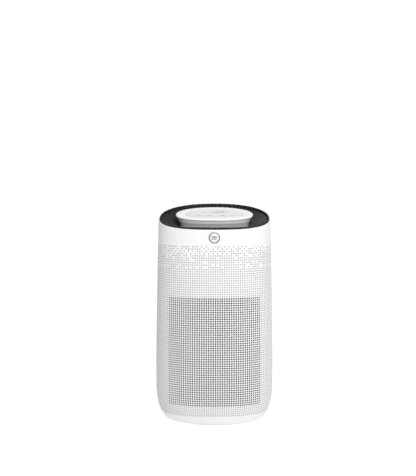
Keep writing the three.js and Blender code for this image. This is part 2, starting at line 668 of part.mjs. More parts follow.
add("base_tray", baseTray(), WHITE);
add("base_cover", baseCover(), GREY);
FEET.forEach(([x, y], i) => add(`foot_${i + 1}`, foot(x, y), RUBBER));
SCREWS.forEach(([x, y], i) => add(`base_screw_${i + 1}`, baseScrew(x, y), STEEL));
add("main_board", mainBoard(), BOARD);
add("transformer", transformer(), CARBON);
add("heat_sink", heatSink(), STEEL);
add("cord_inlet", cordInlet(), CHARCOAL);
[-4.3, 4.3].forEach((x, i) => add(`inlet_pin_${i + 1}`, inletPin(x), BRASS));
add("motor_lead", lead(MOTOR_LEAD, 2, 22), CHARCOAL);
add("panel_lead", lead(PANEL_LEAD, 1.6, 44), CHARCOAL);

add("rear_shell", rearShell(), WHITE);
add("hand_grip", rearCup(GRIP), GREY);
add("sensor_pocket", sensorPocket(), GREY);
add("dust_sensor", dustSensor(), CHARCOAL);
add("sensor_flap", sensorFlap(), WHITE);

add("filter_bay", filterBay(), GREY);
MAGNETS.forEach(([x, z], i) => add(`strike_plate_${i + 1}`, strikePlate(x, z), STEEL));
add("scroll_wall", scrollWall(), GREY);
add("scroll_back", scrollBack(), GREY);
add("fan_guard", fanGuard(), CHARCOAL);
add("motor_housing", motorHousing(), STEEL);
MOTOR_BOLTS.forEach(([x, z], i) => add(`motor_screw_${i + 1}`, motorScrew(x, z), STEEL));
add("impeller", impeller(), GREY);
add("motor_shaft", motorShaft(), STEEL);
add("impeller_nut", impellerNut(), BRASS);

add("outlet_duct", outletDuct(), GREY);
add("outlet_bezel", outletBezel(), CHARCOAL);
add("outlet_fins", outletFins(), CHARCOAL);
add("control_pillar", controlPillar(), WHITE);
add("control_panel", controlPanel(), WHITE);
add("touch_overlay", touchOverlay(), WHITE);
add("display_window", displayWindow(), GREY);
add("control_board", controlBoard(), BOARD);

add("front_cover", frontCover(), WHITE);
MAGNETS.forEach(([x, z], i) => add(`cover_magnet_${i + 1}`, coverMagnet(x, z), SILVER));
add("badge_ring", badgeRing(), SILVER);
add("badge_disc", badgeDisc(), WHITE);

add("filter_frame", filterFrame(), WHITE);
add("filter_gasket", filterGasket(), RUBBER);
add("hepa_media", hepaMedia(), PAPER);
add("carbon_layer", carbonLayer(), CARBON);
add("pre_filter", preFilter(), CHARCOAL);
[-1, 1].forEach((side, i) => add(`filter_tab_${i + 1}`, filterTab(side), CHARCOAL));

export default group;
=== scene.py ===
"""Air purifier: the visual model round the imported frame. Metres, +Z up, the front faces -Y."""

import math
import random

import bmesh
import bpy
from mathutils import Matrix, Vector


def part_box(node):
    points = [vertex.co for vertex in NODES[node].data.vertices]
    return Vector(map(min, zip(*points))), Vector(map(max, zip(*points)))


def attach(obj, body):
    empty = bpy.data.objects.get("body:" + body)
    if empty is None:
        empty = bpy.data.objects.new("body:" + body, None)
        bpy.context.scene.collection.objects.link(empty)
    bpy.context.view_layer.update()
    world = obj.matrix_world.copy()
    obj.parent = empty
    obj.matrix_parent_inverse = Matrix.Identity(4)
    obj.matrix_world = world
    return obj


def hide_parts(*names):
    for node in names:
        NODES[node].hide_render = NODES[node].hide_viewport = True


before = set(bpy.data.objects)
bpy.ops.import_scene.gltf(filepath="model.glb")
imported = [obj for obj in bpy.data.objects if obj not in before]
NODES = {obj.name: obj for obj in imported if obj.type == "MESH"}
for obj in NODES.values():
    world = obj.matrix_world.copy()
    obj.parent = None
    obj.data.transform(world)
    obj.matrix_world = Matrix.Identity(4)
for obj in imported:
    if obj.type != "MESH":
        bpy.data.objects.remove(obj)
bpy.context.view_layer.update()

# ---------- the body's shape, as the solids have it ----------
HALF_WIDTH = 0.1505
DEPTH_SHARE = 0.625  # the body's depth over its width
BODY_POWER = 2.4  # 2 would be an ellipse
WALL = 0.0028
GAP = 0.0004  # between neighbouring pieces
FOOT_HEIGHT = 0.003
SEAM_Z = 0.027
TUCK, TUCK_HEIGHT = 0.0305, 0.084
TAPER, TAPER_FROM, TAPER_SPAN = 0.008, 0.150, 0.360
RIM_Z, RIM_SLOPE, RIM_CROWN = 0.5219, 0.339, 0.0047
RIM_TRIES = 5  # rounds that settle a point on the slanted rim
MOAT_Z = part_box("control_pillar")[0].z - GAP  # the level that the pillar stands on
DISH_Z = MOAT_Z + 0.0016  # the top of the collar that the fins run down to
PILLAR_A, PILLAR_B, PILLAR_POWER = 0.0865, 0.035, 2.2
PILLAR_TOP_A, PILLAR_TOP_B = 0.0962, 0.0403
PANEL_A, PANEL_B = 0.0982, 0.0416
PANEL_RISE, PANEL_THICK = 0.007, 0.0052
PILLAR_SHADED_SHARE = 0.56  # share of the pillar wall, up from its foot, painted a darker grey as shade
PILLAR_WALL = 0.0024
FLARE_POWER, FLARE_STEPS = 1.7, 12
TOUCH_A, TOUCH_B = 0.0742, 0.0282
FIT = 0.0003  # play round a magnet or a screw head
BOSS_RADIUS = 0.007
RIM_ROUNDING = 0.0012
RIM_REACH = 0.0004  # an edge this close to the rim belongs to it
SHARP_TURN = 1.0  # the least turn between the faces of a rim edge, in radians

# ---------- sizes of the base ----------
PLINTH_A, PLINTH_B = 0.105, 0.0736
BASE_WALL, BASE_FLOOR, UPSTAND = 0.002, 0.007, 0.007
BORE_TOP, SHANK_HOLE = 0.0056, 0.0018

# ---------- sizes of the outlet ----------
FINS = 76
FIN_TALL = 0.013
FIN_OUTER_HALF, FIN_INNER_HALF = 0.0013, 0.0008
BAND_DROP, BAND_DEPTH = 0.0034, 0.018
LIP_SHAPE = (  # inset from the casing and drop under the rim
    (0.0, 0.028), (0.0, 0.0012), (0.0003, 0.0004), (0.0010, 0.0), (0.0026, 0.0),
    (0.0036, 0.0004), (0.0042, 0.0014), (0.0044, 0.003), (0.0030, 0.0036), (0.0022, 0.028),
)

# ---------- the pattern of holes ----------
COLUMNS, ROWS = 70, 77
TURNS = 8  # steps of angle in each column
SEAM_ANGLE = 0.0012  # each half stops this short of the seam
PATTERN_Z = SEAM_Z + GAP
FIELD_COLUMNS = range(14, 56)
FIELD_ROWS = range(5, 54)
LOW_PITCH = 0.00526  # of the rows under the field
ROW_PITCH = 0.005556  # of the field's rows and those over it
BAND_ROWS = 9  # rows of cells in the plain band over the dots
HALFTONE = (0.54, 0.60, 0.62, 0.70, 0.78, 0.88, 0.95, 0.93, 0.80, 0.70)  # chance of a dot, top row first
STAGGERED = 4  # rows from the top whose dots mostly stand on every other place
HOLE = 0.40  # radius of an intake hole, in pitches
PIT = 0.315  # radius of a blind dot, in pitches
PIT_DEPTH = 0.0014
FIELD_WALL = 0.0009  # the intake field is thinner than the casing
NET_GAP, NET_WALL = 0.0005, 0.0006

# ---------- sizes of the prints, the badge and the pre-filter ----------
PRINT_THICK, PRINT_LIFT = 0.0001, 0.00012
KEY_X = (-0.041, -0.0105, 0.0205, 0.0475)
SIGN_Y = 0.0042
SIGN_SPOTS = ((-0.0300, 0.0016), (-0.0245, 0.0011), (-0.0190, 0.0016), (0.0365, 0.0014))
NUMERAL_BARS = {"0": "abcdef", "2": "abged", "5": "afgcd", "8": "abcdefg"}
SHOWN = "0258"
SIGN_BARS = ((-0.0072, 0.0052), (-0.0056, 0.0072), (-0.0072, 0.0052))
SIGN_PITCH = 0.0031
PRE_FILTER_EDGE = 0.005

# ---------- sky and camera ----------
# A sky has a strength at the start and at the end of a range along an axis, and then that range.
SKY_SIDES = (0.15, 0.50, -0.7, 0.9)
SKY_BEHIND = (0, 0.85, 0.55, 0.88)
SKY_FRONT = (0.32, 0, -0.9, -0.3)
CAMERA_PLACE = (0, -1.685, 0.6053)
CAMERA_PITCH = math.radians(4.757)
CAMERA_SHIFT = -0.01345
WAVE_LENGTH = 0.314  # one wave of a wave texture at a scale of 1


def half_width(z):
    """Half the body's width at a height: tucked in at the foot and tapered to the top."""
    low = min(1, max(0, (FOOT_HEIGHT + TUCK_HEIGHT - z) / TUCK_HEIGHT))
    high = max(0, (z - TAPER_FROM) / TAPER_SPAN)
    return HALF_WIDTH - TUCK * (1 - math.sqrt(1 - low * low)) - TAPER * high**1.2


def oval(a, b, angle, power=BODY_POWER):
    """The point at an angle on an oval between an ellipse and a rectangle."""
    c, s = math.cos(angle), math.sin(angle)
    x = a * math.copysign(abs(c) ** (2 / power), c)
    y = b * math.copysign(abs(s) ** (2 / power), s)
    return x, y


def rim_height(x, y):
    """The height of the slanted rim over a point."""
    return RIM_Z + RIM_SLOPE * y - RIM_CROWN * (x / HALF_WIDTH) ** 2


def body_point(angle, z, inset=0.0):
    """The point of the body's surface at an angle and height, drawn in by an inset."""
    a = half_width(z)
    x, y = oval(a - inset, DEPTH_SHARE * a - inset, angle)
    return Vector((x, y, z))


def rim_point(angle, inset=0.0, drop=0.0):
    """The point at an angle, drawn in by an inset, that lies a drop under the slanted rim."""
    z = RIM_Z - drop
    for _ in range(RIM_TRIES):
        p = body_point(angle, z, inset)
        z = rim_height(p.x, p.y) - drop
    return body_point(angle, z, inset)


def even_angles(count, start, stop, steps=30000):
    """The angles of count + 1 points spaced evenly along the widest section of the body."""
    angles = [start + (stop - start) * i / steps for i in range(steps + 1)]
    points = [Vector(oval(HALF_WIDTH, DEPTH_SHARE * HALF_WIDTH, a)) for a in angles]
    travel = [0.0]
    for before, after in zip(points, points[1:]):
        travel.append(travel[-1] + (after - before).length)
    found, k = [], 0
    for i in range(count + 1):
        target = travel[-1] * i / count
        while k < steps - 1 and travel[k + 1] < target:
            k += 1
        share = (target - travel[k]) / (travel[k + 1] - travel[k])
        found.append(angles[k] + (angles[k + 1] - angles[k]) * min(1, share))
    return found


# ---------- making meshes ----------
def made(name, bm, body, finishes, stands_for=(), sharp=35):
    """Turns a bmesh into a finished piece that rides on a body."""
    mesh = bpy.data.meshes.new(name)
    for face in bm.faces:
        face.smooth = True
    bm.to_mesh(mesh)
    bm.free()
    mesh.set_sharp_from_angle(angle=math.radians(sharp))
    piece = bpy.data.objects.new(name, mesh)
    bpy.context.scene.collection.objects.link(piece)
    for finish in finishes:
        mesh.materials.append(finish)
    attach(piece, body)
    if stands_for:
        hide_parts(*stands_for)
    return piece


def middle_of(node):
    low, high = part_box(node)
    return (low + high) / 2


def facing_ring(x, y, z, radius):
    """A circle that faces the front."""
    return lambda angle: Vector((x + radius * math.cos(angle), y, z + radius * math.sin(angle)))


def level_ring(x, y, z, radius):
    """A circle that lies level."""
    return lambda angle: Vector((x + radius * math.cos(angle), y + radius * math.sin(angle), z))


def outward(bm):
    bmesh.ops.recalc_face_normals(bm, faces=bm.faces)


def new_verts(result):
    return [g for g in result["geom"] if isinstance(g, bmesh.types.BMVert)]


def new_edges(result):
    return [g for g in result["geom"] if isinstance(g, bmesh.types.BMEdge)]


def new_faces(result):
    return [g for g in result["geom"] if isinstance(g, bmesh.types.BMFace)]


def loft(outlines, segments=128, closed=False, caps=True, bm=None):
    """Extrudes a ring through outlines. Each outline gives the point at an angle."""
    bm = bm or bmesh.new()
    turn = bm.verts.layers.float.get("turn") or bm.verts.layers.float.new("turn")
    ring = bmesh.ops.create_circle(bm, radius=1, segments=segments)["verts"]
    for vert in ring:
        vert[turn] = math.atan2(vert.co.y, vert.co.x)
        vert.co = outlines[0](vert[turn])
    first = edges = list({e for v in ring for e in v.link_edges})
    for outline in outlines[1:]:
        grown = bmesh.ops.extrude_edge_only(bm, edges=edges)
        for vert in new_verts(grown):
            vert.co = outline(vert[turn])
        edges = new_edges(grown)
        edges = [e for e in edges if len(e.link_faces) == 1]
    if closed:
        bmesh.ops.bridge_loops(bm, edges=first + edges)
    elif caps:
        bmesh.ops.edgeloop_fill(bm, edges=first)
        bmesh.ops.edgeloop_fill(bm, edges=edges)
    outward(bm)
    return bm


def block(bm, low, high, bevel=0.0, segments=2):
    """A box between two corners, with rounded edges."""
    size = Vector(high) - Vector(low)
    middle = (Vector(high) + Vector(low)) / 2
    place = Matrix.Translation(middle) @ Matrix.Diagonal((*size, 1))
    verts = bmesh.ops.create_cube(bm, size=1, matrix=place)["verts"]
    if bevel:
        edges = list({e for v in verts for e in v.link_edges})
        bmesh.ops.bevel(
            bm, geom=edges, offset=bevel, affect="EDGES", segments=segments, profile=0.5, material=-1
        )


def carve(piece, bm):
    """Cuts a bmesh's shapes out of a piece."""
    mesh = bpy.data.meshes.new("cutter")
    bm.to_mesh(mesh)
    bm.free()
    cutter = bpy.data.objects.new("cutter", mesh)
    bpy.context.scene.collection.objects.link(cutter)
    cut = piece.modifiers.new("cut", "BOOLEAN")
    cut.operation = "DIFFERENCE"
    cut.solver = "EXACT"
    cut.object = cutter
    bpy.context.view_layer.update()
    held = piece.evaluated_get(bpy.context.evaluated_depsgraph_get())
    piece.data = bpy.data.meshes.new_from_object(held)
    piece.modifiers.remove(cut)
    bpy.data.objects.remove(cutter)
    bpy.data.meshes.remove(mesh)


# ---------- finishes ----------
def finish(name, colour, roughness, metallic=0.0, coat=0.0, sheen=0.0, specular=0.5):
    """A new finish: its node tree and its shader, with what is even all over set on the shader."""
    material = bpy.data.materials.new(name)
    material.use_nodes = True
    tree = material.node_tree
    shader = tree.nodes["Principled BSDF"]
    shader.inputs["Base Color"].default_value = (*colour, 1)
    shader.inputs["Roughness"].default_value = roughness
    shader.inputs["Metallic"].default_value = metallic
    shader.inputs["Coat Weight"].default_value = coat
    shader.inputs["Coat Roughness"].default_value = 0.15
    shader.inputs["Sheen Weight"].default_value = sheen
    shader.inputs["Specular IOR Level"].default_value = specular
    return material, tree, shader


def placed(tree, stretch=(1, 1, 1), turn=(0, 0, 0)):
    """Object coordinates through a mapping."""
    where = tree.nodes.new("ShaderNodeTexCoord")
    mapping = tree.nodes.new("ShaderNodeMapping")
    mapping.inputs["Scale"].default_value = stretch
    mapping.inputs["Rotation"].default_value = turn
    tree.links.new(where.outputs["Object"], mapping.inputs["Vector"])
    return mapping.outputs["Vector"]


def noise(tree, vector, scale, detail=3.0):
    node = tree.nodes.new("ShaderNodeTexNoise")
    node.inputs["Scale"].default_value = scale
    node.inputs["Detail"].default_value = detail
    tree.links.new(vector, node.inputs["Vector"])
    return node.outputs["Fac"]


def ranged(tree, value, low, high, start=0.3, stop=0.7):
    """A value stretched between two ends."""
    node = tree.nodes.new("ShaderNodeMapRange")
    node.inputs["From Min"].default_value = start
    node.inputs["From Max"].default_value = stop
    node.inputs["To Min"].default_value = low
    node.inputs["To Max"].default_value = high
    tree.links.new(value, node.inputs["Value"])
    return node.outputs["Result"]


def tinted(tree, value, dark, light, shader):
    """Two colours mixed by a value into the base colour."""
    mix = tree.nodes.new("ShaderNodeMix")
    mix.data_type = "RGBA"
    mix.inputs["A"].default_value = (*dark, 1)
    mix.inputs["B"].default_value = (*light, 1)
    tree.links.new(value, mix.inputs["Factor"])
    tree.links.new(mix.outputs["Result"], shader.inputs["Base Color"])


def bumped(tree, value, shader, distance, strength=1.0):
    bump = tree.nodes.new("ShaderNodeBump")
    bump.inputs["Strength"].default_value = strength
    bump.inputs["Distance"].default_value = distance
    tree.links.new(value, bump.inputs["Height"])
    tree.links.new(bump.outputs["Normal"], shader.inputs["Normal"])


def moulded(
    name, colour, roughness, grain=1600, depth=0.00003, spread=0.03, coat=0.0, specular=0.5
):
    """Moulded plastic: a fine grain, a faint drift of tone and an uneven gloss."""
    material, tree, shader = finish(name, colour, roughness, coat=coat, specular=specular)
    vector = placed(tree)
    drift = noise(tree, vector, 9, 2)
    dark = tuple(c * (1 - spread) for c in colour)
    light = tuple(min(1, c * (1 + spread)) for c in colour)
    tinted(tree, drift, dark, light, shader)
    fine = noise(tree, vector, grain, 2)
    gloss = ranged(tree, noise(tree, vector, 60, 3), roughness - 0.05, roughness + 0.05)
    tree.links.new(gloss, shader.inputs["Roughness"])
    bumped(tree, fine, shader, depth)
    return material


def brushed(name, colour, roughness, stretch=(20, 900, 900), metallic=1.0, depth=0.00002):
    """Metal with fine lines along one direction."""
    material, tree, shader = finish(name, colour, roughness, metallic=metallic)
    vector = placed(tree, stretch)
    lines = noise(tree, vector, 1, 4)
    tinted(tree, lines, tuple(c * 0.86 for c in colour), colour, shader)
    tree.links.new(ranged(tree, lines, roughness - 0.08, roughness + 0.1), shader.inputs["Roughness"])
    bumped(tree, lines, shader, depth)
    return material


def woven(name, colour, pitch, depth=0.0002, roughness=0.9, contrast=0.45):
    """A net or fleece: two crossed waves."""
    material, tree, shader = finish(name, colour, roughness, sheen=0.2)
    waves = []
    for turn in (0, math.pi / 2):
        vector = placed(tree, turn=(0, turn, 0))
        wave = tree.nodes.new("ShaderNodeTexWave")
        wave.inputs["Scale"].default_value = WAVE_LENGTH / pitch
        wave.inputs["Distortion"].default_value = 0.3
        tree.links.new(vector, wave.inputs["Vector"])
        waves.append(wave.outputs["Fac"])
    product = tree.nodes.new("ShaderNodeMath")
    product.operation = "MULTIPLY"
    tree.links.new(waves[0], product.inputs[0])
    tree.links.new(waves[1], product.inputs[1])
    dark = tuple(c * (1 - contrast) for c in colour)
    tinted(tree, product.outputs[0], colour, dark, shader)
    bumped(tree, product.outputs[0], shader, depth)
    return material


WHITE = moulded("white satin plastic", (0.69, 0.69, 0.692), 0.36)
# painted shade: the dots' walls and bottoms are grey, standing for the shade inside them
PIT_SHADE = moulded("painted shade in the dots", (0.43, 0.43, 0.432), 0.7)
# painted light and shade: a lighter white for the pillar's upper wall and a darker grey for its foot
# stand for how light falls under the panel
PILLAR_LIT_WHITE = moulded("white pillar, painted lighter", (0.80, 0.80, 0.802), 0.4)
PILLAR_SHADE_GREY = moulded("pillar foot, painted shade", (0.41, 0.415, 0.42), 0.45)
GREY = moulded("pale grey plastic", (0.52, 0.53, 0.54), 0.5)
BLACK = moulded("black satin plastic", (0.006, 0.006, 0.0063), 0.6, spread=0.1, specular=0.25)
CHARCOAL = moulded("charcoal plastic", (0.036, 0.036, 0.038), 0.6, spread=0.08, specular=0.3)
TOUCH = moulded("touch face", (0.61, 0.61, 0.612), 0.22, grain=3000, depth=0.00001, coat=0.3)
PRINT = moulded("grey print", (0.30, 0.31, 0.32), 0.5)
DARK_PRINT = moulded("dark grey print", (0.11, 0.115, 0.12), 0.5)
PALE_PRINT = moulded("pale grey print", (0.55, 0.56, 0.57), 0.5)
RUBBER = moulded("black rubber", (0.02, 0.02, 0.021), 0.85, grain=900, depth=0.0001)
JACKET = moulded("lead jacket", (0.03, 0.03, 0.032), 0.55, grain=700)
STEEL = brushed("machined steel", (0.60, 0.61, 0.62), 0.32)
ALUMINIUM = brushed("extruded aluminium", (0.74, 0.75, 0.76), 0.35)
BRASS = brushed("turned brass", (0.72, 0.53, 0.24), 0.28)
PLATED = brushed("plated magnet", (0.68, 0.68, 0.69), 0.2)
SILVER = brushed("satin silver", (0.31, 0.31, 0.315), 0.42, stretch=(60, 60, 900))
BOARD = moulded("green circuit board", (0.03, 0.13, 0.06), 0.35, grain=400, spread=0.25)
CORE = moulded("varnished winding", (0.05, 0.035, 0.03), 0.4, grain=500, depth=0.0002)
CARD = moulded("coated card", (0.78, 0.77, 0.74), 0.7, grain=500, depth=0.00008)
PAPER = moulded("pleated filter paper", (0.80, 0.81, 0.79), 0.9, grain=900, depth=0.0002)
FLEECE = woven("carbon fleece", (0.03, 0.03, 0.03), 0.002)
NET = woven("dark dust net", (0.022, 0.022, 0.023), 0.0011, contrast=0.6)
STRAP = woven("woven pull strap", (0.04, 0.04, 0.045), 0.0012)

NODE_FINISHES = {
    WHITE: ("sensor_flap",),
    GREY: (
        "base_cover", "hand_grip", "sensor_pocket", "filter_bay", "scroll_wall", "scroll_back",
        "impeller", "outlet_duct",
    ),
    CHARCOAL: ("cord_inlet", "dust_sensor", "fan_guard"),
    STRAP: ("filter_tab_1", "filter_tab_2"),
    RUBBER: ("foot_1", "foot_2", "foot_3", "foot_4", "filter_gasket"),
    JACKET: ("motor_lead", "panel_lead"),
    STEEL: (
        "base_screw_1", "base_screw_2", "base_screw_3", "base_screw_4", "motor_screw_1",
        "motor_screw_2", "motor_screw_3", "motor_housing", "motor_shaft", "strike_plate_1",
        "strike_plate_2", "strike_plate_3", "strike_plate_4",
    ),
    ALUMINIUM: ("heat_sink",),
    BRASS: ("inlet_pin_1", "inlet_pin_2", "impeller_nut"),
    BOARD: ("main_board", "control_board"),
    CORE: ("transformer",),
    PLATED: ("cover_magnet_1", "cover_magnet_2", "cover_magnet_3", "cover_magnet_4"),
    CARD: ("filter_frame",),
    PAPER: ("hepa_media",),
    FLEECE: ("carbon_layer",),
}
for material, names in NODE_FINISHES.items():
    for name in names:
        NODES[name].data.materials.clear()
        NODES[name].data.materials.append(material)


# ---------- the perforated casing ----------
def flat_height(v):
    """The height of a level line of the pattern."""
    low_rows = FIELD_ROWS.start
    if v <= low_rows:
        return PATTERN_Z + LOW_PITCH * v
    return PATTERN_Z + LOW_PITCH * low_rows + ROW_PITCH * (v - low_rows)


def flat_row(z):
    """The level line of the pattern at a height."""
    field_z = flat_height(FIELD_ROWS.start)
    if z < field_z:
        return (z - PATTERN_Z) / LOW_PITCH
    return FIELD_ROWS.start + (z - field_z) / ROW_PITCH


def flat_column(x, angles):
    """The place along the pattern where the widest section reaches a given x."""
    reach = [oval(HALF_WIDTH, HALF_WIDTH, a)[0] for a in angles]
    for i, (left, right) in enumerate(zip(reach, reach[1:])):
        if min(left, right) <= x <= max(left, right):
            return (i + (x - left) / (right - left)) / TURNS
    return None


def onto_body(flat, angles):
    """Bends the flat pattern round the body: x is a column, y a row, z the depth below the face."""
    place = flat.x * TURNS
    step = min(int(place), len(angles) - 2)
    angle = angles[step] + (angles[step + 1] - angles[step]) * (place - step)
    depth = -flat.z
    if flat.y <= ROWS:
        return body_point(angle, flat_height(flat.y), depth)
    low = flat_height(ROWS)
    top = rim_point(angle, depth).z
    return body_point(angle, low + (top - low) * (flat.y - ROWS) / BAND_ROWS, depth)


def bend(bm, angles):
    """Bends a flat sheet round the body and turns its faces outwards."""
    for vert in bm.verts:
        vert.co = onto_body(vert.co, angles)
    outward(bm)


def flat_pattern(rows):
    """A flat sheet of square cells, one for each place of the pattern."""
    bm = bmesh.new()
    place = Matrix.Translation((COLUMNS / 2, rows / 2, 0)) @ Matrix.Diagonal((COLUMNS, rows, 1, 1))
    bmesh.ops.create_grid(bm, x_segments=COLUMNS, y_segments=rows, size=0.5, matrix=place)
    return bm


def cell(face):
    """The column and the row of the cell that a flat face lies in."""
    middle = face.calc_center_median()
    return int(middle.x), int(middle.y)


def in_field(face):
    column, row = cell(face)
    return column in FIELD_COLUMNS and row in FIELD_ROWS


def dotted(column, row, seed):
    """Whether a cell of the pattern has its dot: the top rows miss some at random."""
    if row >= ROWS:
        return False
    from_top = ROWS - 1 - row
    if from_top >= len(HALFTONE):
        return True
    chance = HALFTONE[from_top]
    if from_top < STAGGERED:
        chance *= 1.6 if (column + row) % 2 else 0.4
    own_seed = seed * 100003 + row * 1009 + column
    return random.Random(own_seed).random() < chance


def ringed(bm, faces, radius):
    """Turns the middle of each square face into an eight-sided face of its own."""
    bmesh.ops.inset_individual(bm, faces=faces, thickness=0.5 - radius * math.sqrt(0.5))
    edges = list({e for f in faces for e in f.edges})
    bmesh.ops.bisect_edges(bm, edges=edges, cuts=1)
    for face in faces:
        middle = face.calc_center_median()
        for vert in face.verts:
            spoke = vert.co - middle
            vert.co = middle + spoke.normalized() * radius


def sink_dots(bm, faces):
    """Sinks a blind dot, grey inside as painted shade, into the middle of each square face."""
    ringed(bm, faces, PIT)
    sunk = bmesh.ops.extrude_discrete_faces(bm, faces=faces)["faces"]
    for vert in {v for f in sunk for v in f.verts}:
        vert.co.z = -PIT_DEPTH
        # painted shade: the dot's walls and bottom take the grey finish
        for side in vert.link_faces:
            side.material_index = 1


def thickened(bm, wall):
    """Gives a flat sheet a wall behind it, with closed edges."""
    behind = bmesh.ops.extrude_face_region(bm, geom=bm.faces[:], use_keep_orig=True)
    bmesh.ops.translate(bm, verts=new_verts(behind), vec=(0, 0, -wall))


def cut_window(bm, node, angles):
    """Cuts a window in the flat pattern round a node, and returns the cells of its plain border."""
    (x0, _, z0), (x1, _, z1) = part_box(node)
    share = half_width((z0 + z1) / 2) / HALF_WIDTH
    left, right = sorted(flat_column(x / share, angles) for x in (x0 - GAP, x1 + GAP))
    low, high = flat_row(z0 - GAP), flat_row(z1 + GAP)
    near = [
        f for f in bm.faces
        if left - 2 < cell(f)[0] < right + 1 and low - 2 < cell(f)[1] < high + 1
    ]
    border = {cell(f) for f in near}
    cuts = [((place, 0, 0), (1, 0, 0)) for place in (left, right)]
    cuts += [((0, place, 0), (0, 1, 0)) for place in (low, high)]
    for place, normal in cuts:
        edges = {e for f in near for e in f.edges}
        verts = {v for f in near for v in f.verts}
        split = bmesh.ops.bisect_plane(
            bm, geom=[*near, *edges, *verts], dist=1e-5, plane_co=place, plane_no=normal
        )
        near = new_faces(split)
    gone = []
    for face in near:
        middle = face.calc_center_median()
        if left < middle.x < right and low < middle.y < high:
            gone.append(face)
    bmesh.ops.delete(bm, geom=gone, context="FACES")
    return border


def round_rim(bm):
    """Rounds both edges of the casing's slanted rim."""
    rim = []
    for edge in bm.edges:
        near_rim = all(v.co.z > rim_height(v.co.x, v.co.y) - RIM_REACH for v in edge.verts)
        if near_rim and len(edge.link_faces) == 2 and edge.calc_face_angle() > SHARP_TURN:
            rim.append(edge)
    bmesh.ops.bevel(
        bm, geom=rim, offset=RIM_ROUNDING, affect="EDGES", segments=4, profile=0.5, material=-1
    )


def casing_half(name, node, body, angles, seed, field=False, windows=()):
    """Half of the casing: dots all over, openings for the field or for nodes, and a rounded rim."""
    bm = flat_pattern(ROWS + BAND_ROWS)
    if field:
        bmesh.ops.delete(bm, geom=[f for f in bm.faces if in_field(f)], context="FACES")
    plain = set()
    for window in windows:
        plain |= cut_window(bm, window, angles)
    front = bm.faces[:]
    thickened(bm, WALL)
    square = [f for f in front if len(f.verts) == 4 and cell(f) not in plain]
    sink_dots(bm, [f for f in square if dotted(*cell(f), seed)])
    bend(bm, angles)
    round_rim(bm)
    return made(name, bm, body, (WHITE, PIT_SHADE), (node,))


def field_sheet():
    """The cells of the flat pattern that the intake field takes up."""
    bm = flat_pattern(ROWS)
    bmesh.ops.delete(bm, geom=[f for f in bm.faces if not in_field(f)], context="FACES")
    return bm


def intake_field(angles):
    """The field of round through holes in the front cover."""
    bm = field_sheet()
    holes = bm.faces[:]
    ringed(bm, holes, HOLE)
    bmesh.ops.delete(bm, geom=holes, context="FACES_ONLY")
    thickened(bm, FIELD_WALL)
    bend(bm, angles)
    return made("intake_field", bm, "cover", (WHITE,), ("front_cover",))


def dust_net(angles):
    """A dark net behind the intake holes."""
    bm = field_sheet()
    bmesh.ops.translate(bm, verts=bm.verts, vec=(0, 0, -FIELD_WALL - NET_GAP))
    thickened(bm, NET_WALL)
    bend(bm, angles)
    return made("dust_net", bm, "cover", (NET,))


def magnet_bosses():
    """Posts inside the cover that hold its magnets."""
    bm = bmesh.new()
    sunk = WALL * 0.7  # how far a post's root goes into the casing's wall
    for i in range(4):
        node = f"cover_magnet_{i + 1}"
        low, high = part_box(node)
        x, _, z = middle_of(node)
        pocket = (high.x - low.x) / 2 + FIT
        wide = half_width(z)
        share = 1 - ((abs(x) + BOSS_RADIUS) / (wide - sunk)) ** BODY_POWER
        root = (sunk - DEPTH_SHARE * wide) * share ** (1 / BODY_POWER)
        tip = high.y - 0.0004
        shape = [(BOSS_RADIUS, root), (BOSS_RADIUS, low.y + 0.0002), (BOSS_RADIUS - 0.0006, tip)]
        shape += [(pocket, tip), (pocket, low.y - FIT)]
        loft([facing_ring(x, y, z, radius) for radius, y in shape], segments=32, bm=bm)
    return made("magnet_bosses", bm, "cover", (WHITE,))


turns = COLUMNS * TURNS
front_angles = even_angles(turns, math.pi + SEAM_ANGLE, 2 * math.pi - SEAM_ANGLE)
rear_angles = even_angles(turns, SEAM_ANGLE, math.pi - SEAM_ANGLE)
rear_windows = ("hand_grip", "sensor_pocket", "cord_inlet")
casing_half("front_skin", "front_cover", "cover", front_angles, 3, field=True)
intake_field(front_angles)
dust_net(front_angles)
casing_half("rear_skin", "rear_shell", "casing", rear_angles, 8, windows=rear_windows)
magnet_bosses()


# ---------- base ----------
def base_cutters():
    """The counterbores for the base's screws and the seats for its feet."""
    bm = bmesh.new()
    for i in range(4):
        screw, foot = f"base_screw_{i + 1}", f"foot_{i + 1}"
        low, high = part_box(screw)
        x, y, _ = middle_of(screw)
        bore = (high.x - low.x) / 2 + 2 * FIT
        shape = [(bore, -0.001), (bore, BORE_TOP), (SHANK_HOLE, BORE_TOP), (SHANK_HOLE, high.z + 0.001)]
        loft([level_ring(x, y, z, radius) for radius, z in shape], segments=32, bm=bm)
        low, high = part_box(foot)
        x, y, _ = middle_of(foot)
        seat = (high.x - low.x) / 2 + GAP
        loft([level_ring(x, y, z, seat) for z in (-0.001, high.z + 0.0001)], segments=48, bm=bm)
    return bm


